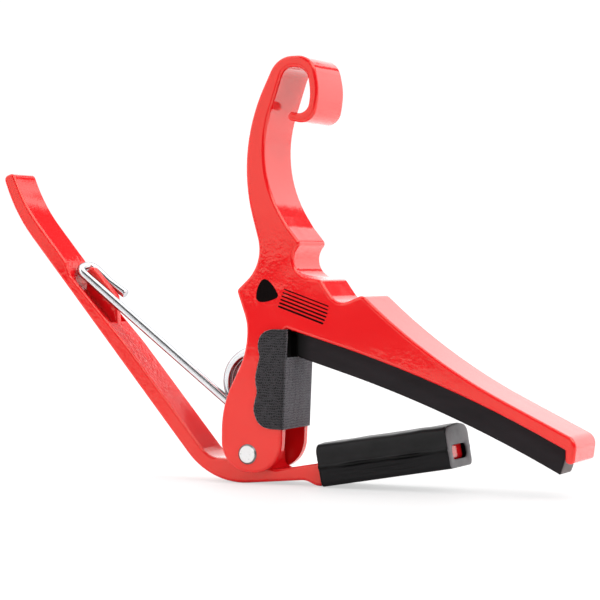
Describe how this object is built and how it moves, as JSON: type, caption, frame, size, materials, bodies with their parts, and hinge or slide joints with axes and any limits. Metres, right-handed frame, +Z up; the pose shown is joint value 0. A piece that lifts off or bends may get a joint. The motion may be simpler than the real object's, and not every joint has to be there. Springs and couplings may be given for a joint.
{
  "type": "guitar capo",
  "caption": "Spring-loaded guitar capo: curled hook and grip on a jaw with a padded string bar, hinged to a bent lever with a rubber boot, a torsion spring and a cloth neck guard.",
  "frame": {"origin": "middle of the capo's bounding box in X and Y, on the ground plane under the lever", "axes": "+X from the handle to the nose of the string bar, +Y across the capo along the hinge pin, +Z up"},
  "size_m": [0.1231, 0.0132, 0.0827],
  "materials": {
    "red_paint": "glossy red paint over a cast surface",
    "pin_steel": "bright turned end",
    "spring_wire": "bright plated wire",
    "pad_rubber": "matt moulded rubber",
    "boot_rubber": "satin creased rubber",
    "guard_cloth": "dark grey knitted cloth"
  },
  "bodies": {
    "lever": {"clamp_lever": "red_paint", "lever_boot": "boot_rubber"},
    "jaw": {"jaw_frame": "red_paint", "hinge_pin": "pin_steel", "torsion_spring": "spring_wire", "string_pad": "pad_rubber", "neck_guard": "guard_cloth"}
  },
  "joints": [
    {"name": "lever_pivot", "type": "hinge", "parent": "lever", "child": "jaw", "pos_m": [-0.00458, 0, 0.00587], "axis": [0, -1, 0], "range_deg": [0, 30], "stiffness_Nm_per_rad": 1, "springref_deg": -57.3, "deforming": ["torsion_spring"]}
  ]
}
